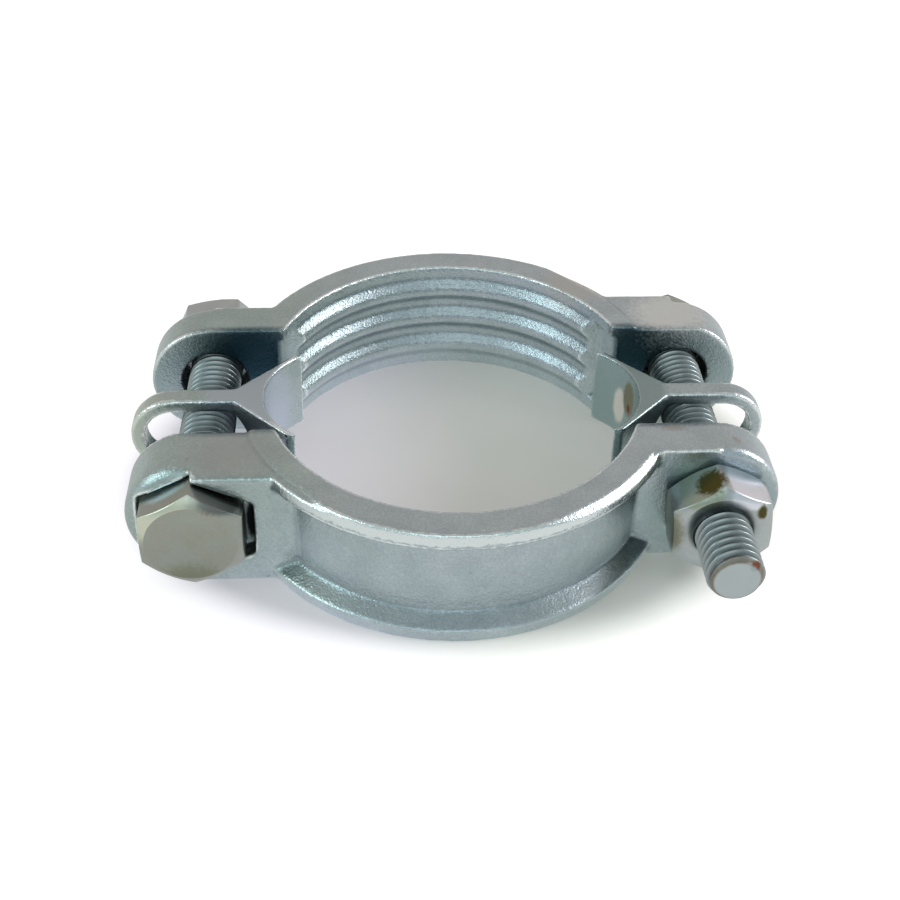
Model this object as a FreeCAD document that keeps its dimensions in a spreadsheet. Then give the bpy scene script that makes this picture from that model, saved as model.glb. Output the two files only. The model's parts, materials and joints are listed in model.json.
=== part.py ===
import FreeCAD, Part
import math
import os
import Sketcher

# Double bolt hose clamp: two cast half shells, two saddles, two hex bolts and two hex nuts.
# Millimetres. Z is up along the hose, Y runs along the bolts, the front is towards -Y.
# The clamp stands on its lower rims at z = 0, opened as far as in use on a thick hose.

doc = FreeCAD.newDocument("double_bolt_hose_clamp")
V = FreeCAD.Vector

SIZES = (
    ("hose_radius", "33", "bore of each half between its grip ridges"),
    ("seat_offset", "3.25", "seat axis of each half from the middle plane"),
    ("clamp_width", "23.5", "height of a half along the hose"),
    ("end_gap", "29", "gap between the ears of the two halves"),
    ("rim_depth", "6.25", "radial depth of the two rims"),
    ("web_wall", "3", "wall between the bore and the outer channel"),
    ("rim_edge", "2.7", "rim thickness at its outer edge"),
    ("rim_draft", "0.6", "lean of the outer edge of a rim"),
    ("rim_root", "4.7", "rim thickness at the web"),
    ("bolt_spacing", "89", "distance between the bolt axes"),
    ("plain_ear", "8", "thickness of the ear that the nut draws on"),
    ("pocket_ear", "9", "thickness of the other ear behind the bolt head"),
    ("pocket_depth", "1.5", "depth to which the head sinks into the outer part of that ear"),
    ("pocket_step", "1.7", "height of the inner part above the outer part"),
    ("pocket_clearance", "1.6", "gap between the head and the pocket wall nearer the ring"),
    ("rim_clearance", "0.6", "gap between the head and the outer pocket wall"),
    ("pocket_side", "10.8", "length of the pocket's upright sides"),
    ("corner_clearance", "0.3", "gap between a corner of the head and the pocket"),
    ("ear_round", "3", "rounding of the outer part of the pocket ear"),
    ("step_round", "1", "rounding of the inner part above and below the head"),
    ("edge_round", "1.4", "rounding of the plain ear"),
    ("ledge_drop", "0.6", "step from the rim down to the pocket ear"),
    ("ledge_inset", "1.95", "width of that step inside the outer edge of the rim"),
    ("ledge_angle", "41.5", "angle from the X axis where the step turns off the arc"),
    ("ridge_height", "1.3", "grip ridges above the bore"),
    ("ridge_base", "4.8", "width of a ridge at the bore"),
    ("ridge_crest", "1.4", "width of a ridge at its crest"),
    ("ridge_pitch", "6.6", "distance between ridges"),
    ("relief_start", "57", "angle from the middle of a half to where the recess for the saddle begins"),
    ("relief_ramp", "8", "angle over which the recess slopes down past the ends of the ridges"),
    ("relief_extra", "4", "angle by which the recess begins earlier at the pocket ear"),
    ("relief_depth", "1.2", "depth of the recess below the bore"),
    ("relief_clearance", "1.1", "room above and below the saddle in that recess"),
    ("hole_clearance", "1.3", "room around the bolt in both ears"),
    ("strap_wall", "2.6", "saddle wall around its slot"),
    ("tab_wall", "4", "thickness of the slotted tab"),
    ("slot_clearance", "0.45", "room above and below the bolt in the slot"),
    ("play_inward", "6", "free slot on the outer side of the bolt"),
    ("play_outward", "3", "free slot on the inner side of the bolt"),
    ("shoe_radius", "13.8", "hollow of the shoe that faces the hose"),
    ("shoe_reach", "11.75", "half the length of the shoe"),
    ("flare_angle", "45", "angle of the web from the tab to the tips of the shoe"),
    ("thread_radius", "4.925", "outside of the M10 thread"),
    ("left_length", "60", "length of the left bolt under its head"),
    ("right_length", "65", "length of the right bolt under its head"),
    ("bolt_end_chamfer", "1", "chamfer at the end of the thread"),
    ("head_flats", "17", "bolt head across flats"),
    ("head_height", "6.4", "bolt head height"),
    ("nut_flats", "17", "nut across flats"),
    ("nut_height", "8", "nut height"),
    ("left_nut_angle", "22", "angle at which the left nut came to rest"),
    ("right_nut_angle", "4", "angle at which the right nut came to rest"),
    ("thread_clearance", "0.055", "running fit of the nut on the bolt"),
    ("countersink", "0.5", "chamfer at both mouths of the nut"),
    ("hex_chamfer_angle", "30", "chamfer on the corners of head and nut"),
    ("hex_chamfer_share", "0.9", "chamfer circle as a share of the width across flats"),
)
RIDGES = 3

sheet = doc.addObject("Spreadsheet::Sheet", "Sizes")
for row, (alias, text, note) in enumerate(SIZES, start=1):
    sheet.set(f"A{row}", alias)
    sheet.set(f"B{row}", text)
    sheet.setAlias(f"B{row}", alias)
    sheet.set(f"C{row}", note)
doc.recompute()

# Lengths that several pieces share, worked out from the sheet by the document itself.
MIDDLE = "Sizes.clamp_width / 2"
END = "(Sizes.end_gap / 2 - Sizes.seat_offset)"
WEB = "(Sizes.hose_radius + Sizes.web_wall)"
RIM = "(Sizes.hose_radius + Sizes.rim_depth)"
CREST = "(Sizes.hose_radius - Sizes.ridge_height)"
BOLT_X = "(Sizes.bolt_spacing / 2)"
SLOT_HALF = "(Sizes.thread_radius + Sizes.slot_clearance)"
SADDLE_HALF = f"({SLOT_HALF} + Sizes.strap_wall)"
SLOT_IN = f"({BOLT_X} - Sizes.thread_radius - Sizes.play_outward)"
SLOT_OUT = f"({BOLT_X} + Sizes.thread_radius + Sizes.play_inward)"
ROUND_OUT = f"({SLOT_OUT} - {SLOT_HALF})"
SHOE_CENTRE = f"({SLOT_IN} - Sizes.strap_wall - Sizes.shoe_radius)"
WEB_ROOT = f"({SLOT_IN} + Sizes.strap_wall)"
BORE_RADIUS = "(Sizes.thread_radius + Sizes.thread_clearance)"
POCKET_FACE = f"({END} + Sizes.pocket_ear + Sizes.pocket_depth)"
FREE = "~"


def number(text):
    """Value of an expression over the sheet."""
    return float(sheet.evalExpression(text.replace(FREE, "")))


def new_body(name):
    body = doc.addObject("PartDesign::Body", name)
    body.Label = name
    return body


def new_sketch(body, name, plane, offset=None):
    """Sketch on one of the body's own origin planes, moved along the plane's normal."""
    sketch = body.newObject("Sketcher::SketchObject", name)
    support = next(item for item in body.Origin.OriginFeatures if item.Role == plane)
    sketch.AttachmentSupport = [(support, "")]
    sketch.MapMode = "FlatFace"
    if offset is not None:
        sketch.setExpression("AttachmentOffset.Base.z", offset)
    doc.recompute()
    return sketch


def pin_coordinate(sketch, kind, point, text):
    """Binds one coordinate of a sketch point to an expression; text marked FREE is left to the arcs."""
    if text.startswith(FREE):
        return
    value = number(text)
    axis = {"DistanceX": -2, "DistanceY": -1}[kind]
    if abs(value) < 1e-9:
        sketch.addConstraint(Sketcher.Constraint("PointOnObject", *point, axis))
    elif value > 0:
        index = sketch.addConstraint(Sketcher.Constraint(kind, -1, 1, *point, value))
        sketch.setExpression(f"Constraints[{index}]", text)
    else:
        index = sketch.addConstraint(Sketcher.Constraint(kind, *point, -1, 1, -value))
        sketch.setExpression(f"Constraints[{index}]", f"-({text})")


def pin_point(sketch, point, x, y):
    pin_coordinate(sketch, "DistanceX", point, x)
    pin_coordinate(sketch, "DistanceY", point, y)


def draw_outline(sketch, corners, arcs=None):
    """Closed outline through the corners. arcs gives the centre of the arc that follows a corner,
    and the side on which it turns: +1 anticlockwise, -1 clockwise."""
    arcs = arcs or {}
    places = [V(number(x), number(y), 0) for x, y in corners]
    ends = []
    for index, start in enumerate(places):
        finish = places[(index + 1) % len(places)]
        if index not in arcs:
            edge = sketch.addGeometry(Part.LineSegment(start, finish), False)
            ends.append(((edge, 1), (edge, 2)))
            continue
        centre_x, centre_y, turn = arcs[index]
        centre = V(number(centre_x), number(centre_y), 0)
        first, last = (start, finish) if turn > 0 else (finish, start)
        angles = [math.atan2(p.y - centre.y, p.x - centre.x) for p in (first, last)]
        if angles[1] <= angles[0]:
            angles[1] += 2 * math.pi
        circle = Part.Circle(centre, V(0, 0, 1), (start - centre).Length)
        edge = sketch.addGeometry(Part.ArcOfCircle(circle, *angles), False)
        pin_point(sketch, (edge, 3), centre_x, centre_y)
        ends.append(((edge, 1), (edge, 2)) if turn > 0 else ((edge, 2), (edge, 1)))
    for index, (x, y) in enumerate(corners):
        before = ends[index - 1][1]
        here = ends[index][0]
        sketch.addConstraint(Sketcher.Constraint("Coincident", *before, *here))
        pin_point(sketch, here, x, y)


def draw_circle(sketch, x, y, radius):
    """Circle with its centre and radius bound to expressions."""
    centre = V(number(x), number(y), 0)
    edge = sketch.addGeometry(Part.Circle(centre, V(0, 0, 1), number(radius)), False)
    pin_point(sketch, (edge, 3), x, y)
    index = sketch.addConstraint(Sketcher.Constraint("Radius", edge, number(radius)))
    sketch.setExpression(f"Constraints[{index}]", radius)


def draw_hexagon(sketch, x, y, flats):
    """Hexagon with two corners above and below its centre."""
    side = f"({flats}) / 2"
    corner = f"({flats}) / sqrt(3)"
    draw_outline(sketch, (
        (f"{x}", f"{y} + {corner}"),
        (f"{x} - {side}", f"{y} + {corner} / 2"),
        (f"{x} - {side}", f"{y} - {corner} / 2"),
        (f"{x}", f"{y} - {corner}"),
        (f"{x} + {side}", f"{y} - {corner} / 2"),
        (f"{x} + {side}", f"{y} + {corner} / 2"),
    ))


def extrude(body, kind, name, sketch, length=None, reverse=False, both=False):
    """Pad or Pocket of a sketch, through everything when no length is given."""
    feature = body.newObject(f"PartDesign::{kind}", name)
    feature.Profile = sketch
    feature.Reversed = reverse
    feature.Midplane = both
    if length is None:
        feature.Type = "ThroughAll"
    else:
        feature.setExpression("Length", length)
    sketch.Visibility = False
    doc.recompute()
    return feature


def turn(body, kind, name, sketch, angle, both=False):
    """Revolution or Groove of a sketch about its upright axis."""
    feature = body.newObject(f"PartDesign::{kind}", name)
    feature.Profile = sketch
    feature.ReferenceAxis = (sketch, ["V_Axis"])
    feature.Midplane = both
    feature.setExpression("Angle", angle)
    sketch.Visibility = False
    doc.recompute()
    return feature


def round_ear(body, name, side, front, radius):
    """Rounds the outer edge of an ear: a corner section turned half way round the bolt axis."""
    section = new_sketch(body, f"{name}_section", "XY_Plane", MIDDLE)
    axis = f"{side} * {BOLT_X}"
    edge = f"{side} * ({BOLT_X} + {MIDDLE})"
    beyond = f"{side} * ({BOLT_X} + {MIDDLE} + {radius})"
    inner = f"{side} * ({BOLT_X} + {MIDDLE} - {radius})"
    draw_outline(section, (
        (inner, f"-{front}"),
        (f"{FREE}{edge}", f"-({front} - {radius})"),
        (beyond, f"-({front} - {radius})"),
        (beyond, f"-({front} + {radius})"),
        (inner, f"-({front} + {radius})"),
    ), {0: (inner, f"-({front} - {radius})", side)})
    line = Part.LineSegment(V(number(axis), 0, 0), V(number(axis), number(radius), 0))
    upright = section.addGeometry(line, True)
    pin_point(section, (upright, 1), axis, "0")
    pin_point(section, (upright, 2), axis, radius)
    cut = body.newObject("PartDesign::Groove", name)
    cut.Profile = section
    cut.ReferenceAxis = (section, ["Axis0"])
    cut.Midplane = True
    cut.setExpression("Angle", "180")
    section.Visibility = False
    doc.recompute()
    return cut


def ring_band(body):
    """Channel section of the band, swept half way round the seat axis and cut off at both ends."""
    profile = new_sketch(body, "band_section", "YZ_Plane")
    draw_outline(profile, (
        (f"-{CREST}", "0"),
        (f"-{RIM} + Sizes.rim_draft", "0"),
        (f"-{RIM}", "Sizes.rim_edge"),
        (f"-{WEB}", "Sizes.rim_root"),
        (f"-{WEB}", "Sizes.clamp_width - Sizes.rim_root"),
        (f"-{RIM}", "Sizes.clamp_width - Sizes.rim_edge"),
        (f"-{RIM} + Sizes.rim_draft", "Sizes.clamp_width"),
        (f"-{CREST}", "Sizes.clamp_width"),
    ))
    turn(body, "Revolution", "band", profile, "180", both=True)
    ends = new_sketch(body, "band_ends", "XY_Plane")
    reach = f"({RIM} + Sizes.rim_depth)"
    draw_outline(ends, (
        (f"-{reach}", f"-{END}"),
        (reach, f"-{END}"),
        (reach, reach),
        (f"-{reach}", reach),
    ))
    extrude(body, "Pocket", "band_ends_cut", ends, reverse=True)


def ear(body, name, side, start, thickness, rounded):
    """Ear across the end of the band: from inside the web to the bolt axis, round beyond it."""
    front = f"({start} + {thickness})"
    root = f"{side} * (sqrt({WEB} ^ 2 - {front} ^ 2) - Sizes.web_wall / 2)"
    axis = f"{side} * {BOLT_X}"
    outline = new_sketch(body, f"{name}_outline", "XZ_Plane", start)
    top = f"{FREE}Sizes.clamp_width" if rounded else "Sizes.clamp_width"
    corners = ((root, "0"), (axis, "0"), (axis, top), (root, "Sizes.clamp_width"))
    arcs = {1: (axis, MIDDLE, side)} if rounded else {}
    draw_outline(outline, corners, arcs)
    return extrude(body, "Pad", name, outline, thickness)


def raised_step(body):
    """Inner part of the pocket ear, raised beside the head, with its edges rounded above and below."""
    front = f"({POCKET_FACE} + Sizes.pocket_step)"
    low = "0"
    high = "(Sizes.clamp_width - Sizes.ledge_drop)"
    inner = "Sizes.step_round"
    section = new_sketch(body, "step_section", "YZ_Plane", f"-{BOLT_X}")
    draw_outline(section, (
        (f"-{END}", low),
        (f"-{END}", high),
        (f"-({front} - {inner})", high),
        (f"{FREE}-{front}", f"{high} - {inner}"),
        (f"-{front}", f"{low} + {inner}"),
        (f"-({front} - {inner})", f"{FREE}{low}"),
    ), {
        2: (f"-({front} - {inner})", f"{high} - {inner}", 1),
        4: (f"-({front} - {inner})", f"{low} + {inner}", 1),
    })
    root = f"({BOLT_X} - sqrt({WEB} ^ 2 - {front} ^ 2) + Sizes.web_wall / 2)"
    extrude(body, "Pad", "raised_step", section, root)


def ledge(body):
    """Step that drops from the rim to the top of the pocket ear and runs out along the rim."""
    radius = f"({RIM} - Sizes.ledge_inset)"
    start = "(180 + Sizes.ledge_angle / 3)"
    leave = "(180 + Sizes.ledge_angle)"
    run = "(Sizes.rim_depth * 2.3)"
    away = f"-({BOLT_X} + Sizes.clamp_width)"
    off = (f"{radius} * cos({leave}) - {run} * sin({leave})", f"{radius} * sin({leave}) + {run} * cos({leave})")
    outline = new_sketch(body, "ledge_outline", "XY_Plane", "Sizes.clamp_width")
    draw_outline(outline, (
        (f"{radius} * cos({start})", f"{radius} * sin({start})"),
        (f"{radius} * cos({leave})", f"{FREE}{radius} * sin({leave})"),
        off,
        (off[0], away),
        (away, away),
        (away, f"{radius} * sin({start})"),
    ), {0: ("0", "0", 1)})
    extrude(body, "Pocket", "ledge", outline, "Sizes.ledge_drop")


def bore_and_ridges(body):
    """Bore through band and ears, then the grip ridges, whose ends the recess for the saddle slopes off."""
    bore = new_sketch(body, "bore_circle", "XY_Plane")
    draw_circle(bore, "0", "0", "Sizes.hose_radius")
    extrude(body, "Pocket", "bore", bore, reverse=True)
    section = new_sketch(body, "ridge_section", "YZ_Plane")
    low = f"({MIDDLE} - Sizes.ridge_pitch * {(RIDGES - 1) / 2})"
    wall = "-(Sizes.hose_radius + Sizes.web_wall / 2)"
    draw_outline(section, (
        (wall, f"{low} - Sizes.ridge_base / 2"),
        ("-Sizes.hose_radius", f"{low} - Sizes.ridge_base / 2"),
        (f"-{CREST}", f"{low} - Sizes.ridge_crest / 2"),
        (f"-{CREST}", f"{low} + Sizes.ridge_crest / 2"),
        ("-Sizes.hose_radius", f"{low} + Sizes.ridge_base / 2"),
        (wall, f"{low} + Sizes.ridge_base / 2"),
    ))
    sweep = "2 * (Sizes.relief_start + Sizes.relief_ramp)"
    ridge = turn(body, "Revolution", "ridge", section, sweep, both=True)
    ridges = body.newObject("PartDesign::LinearPattern", "ridges")
    ridges.Originals = [ridge]
    ridges.Direction = (next(item for item in body.Origin.OriginFeatures if item.Role == "Z_Axis"), [""])
    ridges.Occurrences = RIDGES
    ridges.setExpression("Length", f"Sizes.ridge_pitch * {RIDGES - 1}")
    body.Tip = ridges
    doc.recompute()


def saddle_relief(body):
    """Recess in the bore at both ends, below the top rim, where the tips of the saddle slide in."""
    low = f"{MIDDLE} - {SADDLE_HALF} - Sizes.relief_clearance"
    outline = new_sketch(body, "relief_outline", "XY_Plane", low)
    radius = "(Sizes.hose_radius + Sizes.relief_depth)"
    free_air = f"({CREST} - Sizes.ridge_height)"
    open_end = f"({END} - Sizes.relief_depth)"
    for side, first in ((1, "Sizes.relief_start"), (-1, "(Sizes.relief_start - Sizes.relief_extra)")):
        foot = f"({first} + Sizes.relief_ramp)"
        draw_outline(outline, (
            (f"{side} * {free_air} * sin({first})", f"-{free_air} * cos({first})"),
            (f"{side} * {radius} * sin({foot})", f"-{radius} * cos({foot})"),
            (f"{FREE}{side} * sqrt({radius} ^ 2 - {open_end} ^ 2)", f"-{open_end}"),
            (f"{side} * {free_air} * sin({first})", f"-{open_end}"),
        ), {1: ("0", "0", side)})
    extrude(body, "Pocket", "relief", outline, f"2 * ({SADDLE_HALF} + Sizes.relief_clearance)", reverse=True)


def bolt_holes_and_pocket(body):
    """Clearance holes through both ears and the six-sided pocket that keeps the bolt head from turning."""
    holes = new_sketch(body, "bolt_hole_circles", "XZ_Plane")
    for side in ("1", "-1"):
        draw_circle(holes, f"{side} * {BOLT_X}", MIDDLE, "Sizes.thread_radius + Sizes.hole_clearance")
    extrude(body, "Pocket", "bolt_holes", holes, reverse=True)
    seat = new_sketch(body, "pocket_outline", "XZ_Plane", f"{END} + Sizes.pocket_ear")
    inner = "(Sizes.head_flats / 2 + Sizes.pocket_clearance)"
    outer = "(Sizes.head_flats / 2 + Sizes.rim_clearance)"
    corner = "(Sizes.head_flats / sqrt(3) + Sizes.corner_clearance)"
    draw_outline(seat, (
        (f"-{BOLT_X}", f"{MIDDLE} + {corner}"),
        (f"-{BOLT_X} - {outer}", f"{MIDDLE} + Sizes.pocket_side / 2"),
        (f"-{BOLT_X} - {outer}", f"{MIDDLE} - Sizes.pocket_side / 2"),
        (f"-{BOLT_X}", f"{MIDDLE} - {corner}"),
        (f"-{BOLT_X} + {inner}", f"{MIDDLE} - Sizes.pocket_side / 2"),
        (f"-{BOLT_X} + {inner}", f"{MIDDLE} + Sizes.pocket_side / 2"),
    ))
    extrude(body, "Pocket", "head_pocket", seat, reverse=True)


def make_half(name, quarter_turns):
    """Half shell with a plain ear on its right and a pocket ear on its left, seen from the front."""
    body = new_body(name)
    ring_band(body)
    ear(body, "plain_ear", 1, END, "Sizes.plain_ear", rounded=True)
    round_ear(body, "plain_ear_round", 1, f"({END} + Sizes.plain_ear)", "Sizes.edge_round")
    ear(body, "pocket_ear", -1, END, "(Sizes.pocket_ear + Sizes.pocket_depth)", rounded=True)
    round_ear(body, "pocket_ear_round", -1, POCKET_FACE, "Sizes.ear_round")
    raised_step(body)
    ledge(body)
    bore_and_ridges(body)
    saddle_relief(body)
    bolt_holes_and_pocket(body)
    body.Placement = FreeCAD.Placement(V(0, 0, 0), FreeCAD.Rotation(V(0, 0, 1), 90 * quarter_turns))
    body.setExpression("Placement.Base.y", "Sizes.seat_offset" if quarter_turns else "-Sizes.seat_offset")
    doc.recompute()
    return body


def make_saddle(name, quarter_turns):
    """Saddle: hollow shoe, web flaring from the tab to its tips, and the slotted tab around the bolt."""
    body = new_body(name)
    outline = new_sketch(body, "tab_outline", "XZ_Plane")
    low, high = f"{MIDDLE} - {SADDLE_HALF}", f"{MIDDLE} + {SADDLE_HALF}"
    draw_outline(outline, (
        (SLOT_IN, low),
        (ROUND_OUT, low),
        (ROUND_OUT, f"{FREE}{high}"),
        (SLOT_IN, high),
    ), {1: (ROUND_OUT, MIDDLE, 1)})
    extrude(body, "Pad", "tab", outline, "Sizes.tab_wall", both=True)
    plan = new_sketch(body, "shoe_plan", "XY_Plane", low)
    reach = "Sizes.shoe_reach"
    tip_in = f"{SHOE_CENTRE} + sqrt(Sizes.shoe_radius ^ 2 - Sizes.shoe_reach ^ 2)"
    tip_out = f"{WEB_ROOT} - (Sizes.shoe_reach - Sizes.tab_wall / 2) / tan(Sizes.flare_angle)"
    draw_outline(plan, (
        (tip_in, f"-{reach}"),
        (f"{FREE}{tip_in}", reach),
        (tip_out, reach),
        (WEB_ROOT, "Sizes.tab_wall / 2"),
        (WEB_ROOT, "-Sizes.tab_wall / 2"),
        (tip_out, f"-{reach}"),
    ), {0: (SHOE_CENTRE, "0", 1)})
    extrude(body, "Pad", "shoe", plan, f"2 * {SADDLE_HALF}")
    slot = new_sketch(body, "slot_outline", "XZ_Plane")
    slot_low, slot_high = f"{MIDDLE} - {SLOT_HALF}", f"{MIDDLE} + {SLOT_HALF}"
    round_in = f"({SLOT_IN} + {SLOT_HALF})"
    draw_outline(slot, (
        (round_in, slot_low),
        (ROUND_OUT, slot_low),
        (ROUND_OUT, f"{FREE}{slot_high}"),
        (round_in, f"{FREE}{slot_high}"),
    ), {1: (ROUND_OUT, MIDDLE, 1), 3: (round_in, MIDDLE, 1)})
    extrude(body, "Pocket", "slot", slot, both=True)
    body.Placement = FreeCAD.Placement(V(0, 0, 0), FreeCAD.Rotation(V(0, 0, 1), 90 * quarter_turns))
    doc.recompute()
    return body


def chamfer_corners(body, name, flats, faces):
    """Turns the corners of a hexagon off at the given faces; +1 opens the chamfer upwards."""
    section = new_sketch(body, f"{name}_section", "XZ_Plane")
    inner = f"({flats} / 2 * Sizes.hex_chamfer_share)"
    outer = f"({flats} / sqrt(3) + Sizes.countersink)"
    for height, side in faces:
        drop = f"{side} * ({outer} - {inner}) * tan(Sizes.hex_chamfer_angle)"
        draw_outline(section, (
            (inner, height),
            (outer, height),
            (outer, f"{height} + {drop}"),
        ))
    turn(body, "Groove", name, section, "360")


def stand_along_bolt(body, x, y, towards_rear, angle="0"):
    """Lays a body that was made upright along the bolt axis at x, its foot at y."""
    tilt = FreeCAD.Rotation(V(1, 0, 0), -90 if towards_rear else 90)
    spin = FreeCAD.Rotation(V(0, 0, 1), number(angle))
    body.Placement = FreeCAD.Placement(V(0, 0, 0), tilt * spin)
    body.setExpression("Placement.Base.x", x)
    body.setExpression("Placement.Base.y", y)
    body.setExpression("Placement.Base.z", MIDDLE)
    doc.recompute()


def make_bolt(name, side, length):
    """Hex bolt with its head in the pocket of one half and its shank through both."""
    body = new_body(name)
    hexagon = new_sketch(body, "head_hexagon", "XY_Plane", "-Sizes.head_height")
    draw_hexagon(hexagon, "0", "0", "Sizes.head_flats")
    extrude(body, "Pad", "head", hexagon, "Sizes.head_height")
    section = new_sketch(body, "shank_section", "XZ_Plane")
    draw_outline(section, (
        ("0", "-Sizes.head_height / 2"),
        ("Sizes.thread_radius", "-Sizes.head_height / 2"),
        ("Sizes.thread_radius", f"{length} - Sizes.bolt_end_chamfer"),
        ("Sizes.thread_radius - Sizes.bolt_end_chamfer", length),
        ("0", length),
    ))
    turn(body, "Revolution", "shank", section, "360")
    chamfer_corners(body, "head_chamfer", "Sizes.head_flats", (("-Sizes.head_height", 1),))
    seat = "(Sizes.end_gap / 2 + Sizes.pocket_ear)"
    stand_along_bolt(body, f"{side} * {BOLT_X}", f"{side} * {seat}", side < 0)
    return body


def make_nut(name, side, angle):
    """Hex nut against the plain ear, on the thread of the bolt."""
    body = new_body(name)
    hexagon = new_sketch(body, "nut_hexagon", "XY_Plane")
    draw_hexagon(hexagon, "0", "0", "Sizes.nut_flats")
    extrude(body, "Pad", "nut", hexagon, "Sizes.nut_height")
    bore = new_sketch(body, "nut_bore_section", "XZ_Plane")
    draw_outline(bore, (
        ("0", "0"),
        (f"{BORE_RADIUS} + Sizes.countersink", "0"),
        (BORE_RADIUS, "Sizes.countersink"),
        (BORE_RADIUS, "Sizes.nut_height - Sizes.countersink"),
        (f"{BORE_RADIUS} + Sizes.countersink", "Sizes.nut_height"),
        ("0", "Sizes.nut_height"),
    ))
    turn(body, "Groove", "nut_bore", bore, "360")
    chamfer_corners(body, "nut_chamfer", "Sizes.nut_flats", (("0", 1), ("Sizes.nut_height", -1)))
    face = "(Sizes.end_gap / 2 + Sizes.plain_ear)"
    stand_along_bolt(body, f"{side} * {BOLT_X}", f"-{side} * {face}", side < 0, angle)
    return body


pieces = [
    make_half("front_half", 0),
    make_half("rear_half", 2),
    make_saddle("right_saddle", 0),
    make_saddle("left_saddle", 2),
    make_bolt("left_bolt", -1, "Sizes.left_length"),
    make_bolt("right_bolt", 1, "Sizes.right_length"),
    make_nut("left_nut", -1, "Sizes.left_nut_angle"),
    make_nut("right_nut", 1, "Sizes.right_nut_angle"),
]

doc.recompute()
for item in doc.Objects:
    if {"Invalid", "Error"} & set(item.State):
        raise RuntimeError(f"{item.Name} failed: {item.State}")
for piece in pieces:
    if piece.Shape.isNull() or not piece.Shape.isValid():
        raise RuntimeError(f"{piece.Label} has no valid shape")

os.makedirs("parts", exist_ok=True)
for piece in pieces:
    piece.Shape.exportStep(f"parts/{piece.Label}.step")
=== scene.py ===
import json
import math
from collections import namedtuple

import bmesh
import bpy
import numpy
from bpy.props import FloatProperty, FloatVectorProperty, IntProperty, PointerProperty
from mathutils import Matrix, Vector, noise


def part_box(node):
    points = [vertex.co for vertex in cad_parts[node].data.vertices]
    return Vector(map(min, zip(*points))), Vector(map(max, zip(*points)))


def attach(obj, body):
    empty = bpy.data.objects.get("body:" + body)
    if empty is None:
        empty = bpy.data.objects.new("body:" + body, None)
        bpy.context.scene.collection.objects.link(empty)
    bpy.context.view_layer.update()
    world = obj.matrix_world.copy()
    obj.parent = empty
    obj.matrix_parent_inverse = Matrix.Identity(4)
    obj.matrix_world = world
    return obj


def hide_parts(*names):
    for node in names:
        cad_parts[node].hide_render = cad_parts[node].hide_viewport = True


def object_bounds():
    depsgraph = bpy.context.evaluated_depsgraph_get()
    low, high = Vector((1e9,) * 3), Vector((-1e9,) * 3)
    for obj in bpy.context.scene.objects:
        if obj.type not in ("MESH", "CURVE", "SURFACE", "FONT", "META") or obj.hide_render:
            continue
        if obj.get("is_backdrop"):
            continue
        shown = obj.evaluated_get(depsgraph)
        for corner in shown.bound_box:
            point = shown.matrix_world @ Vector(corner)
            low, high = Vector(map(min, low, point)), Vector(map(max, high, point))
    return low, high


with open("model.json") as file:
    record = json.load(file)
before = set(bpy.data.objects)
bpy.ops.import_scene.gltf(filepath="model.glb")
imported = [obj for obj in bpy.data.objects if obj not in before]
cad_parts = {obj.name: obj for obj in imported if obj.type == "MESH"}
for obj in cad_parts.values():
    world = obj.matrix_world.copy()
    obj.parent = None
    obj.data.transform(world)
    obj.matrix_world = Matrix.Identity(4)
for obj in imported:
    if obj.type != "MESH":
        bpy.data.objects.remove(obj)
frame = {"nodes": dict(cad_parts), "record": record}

bl_info = {
    "name": "Double Bolt Hose Clamp",
    "version": (1, 0, 0),
    "blender": (4, 5, 0),
    "location": "View3D > Sidebar > Hose Clamp",
    "description": "Dresses the clamp: cast half shells, saddles, threaded bolts and nuts, and the studio",
    "category": "Object",
}

# The bodies of the frame that carry each piece.
BODY_OF = {node: body for body, nodes in frame["record"]["behaviour"]["bodies"].items() for node in nodes}
HALVES = ("front_half", "rear_half")
SADDLES = ("left_saddle", "right_saddle")
BOLTS = ("left_bolt", "right_bolt")
NUTS = ("left_nut", "right_nut")

MM = 0.001
SIXTH_TURN = math.pi / 3
RING_STEPS = 96
SAME_PLACE = 0.0005 * MM
CURVATURE = "curvature"
CURVATURE_BLURS = 4

# Curvatures, per mm, over which edges get rubbed bright, partly wear and partly painted highlight, and
# hollows get painted shade.
EDGE_CURVES = (0.28, 0.56)
HOLLOW_CURVES = (-0.08, -0.35)

# Shader nodes stand in columns. The colour sockets of a Mix node go by number, because their names repeat.
NODE_ROWS = 8
NODE_COLUMNS = 10
NODE_STEP = (240, 220)
MIX_SOCKETS = (0, 6, 7)
MIX_RESULT = 2

# One turn of a thread: shares of the pitch, and the part of the profile that lies there.
THREAD_PROFILE = ((0.0, "root"), (0.11, "root"), (0.22, "root"), (0.385, "flank"), (0.55, "shoulder"),
                  (0.60, "crest"), (0.65, "crest"), (0.70, "shoulder"), (0.85, "flank"))

# Materials of a bolt or nut by number, after that of its hexagon.
THREAD_SLOT = 1
CHAMFER_SLOT = 2

# The bevel of a rim: its share at places along X, in mm, and how far outside the rim's radius it reaches.
BEVEL_PLACES = (0, 20, 32.8, 34.6)
BEVEL_SHARES = (0, 1, 1, 0)
BEVEL_MARGIN = 0.15 * MM

# The painted highlight on the outer band of a rim grows from nothing to full between these distances from the
# rim's radius, heights over the band's bottom, tilts (Z of the normal) and places along X.
RIM_INSIDE = (-1.6 * MM, -1.0 * MM)
RIM_OUTSIDE = (0.6 * MM, 0.3 * MM)
RIM_HEIGHTS = (-0.1 * MM, 0.25 * MM)
RIM_TILTS = (0.90, 0.76)
RIM_RUN = (-33 * MM, -20 * MM)
RIM_LEAST = 0.20
RIM_MOST = 0.85
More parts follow.
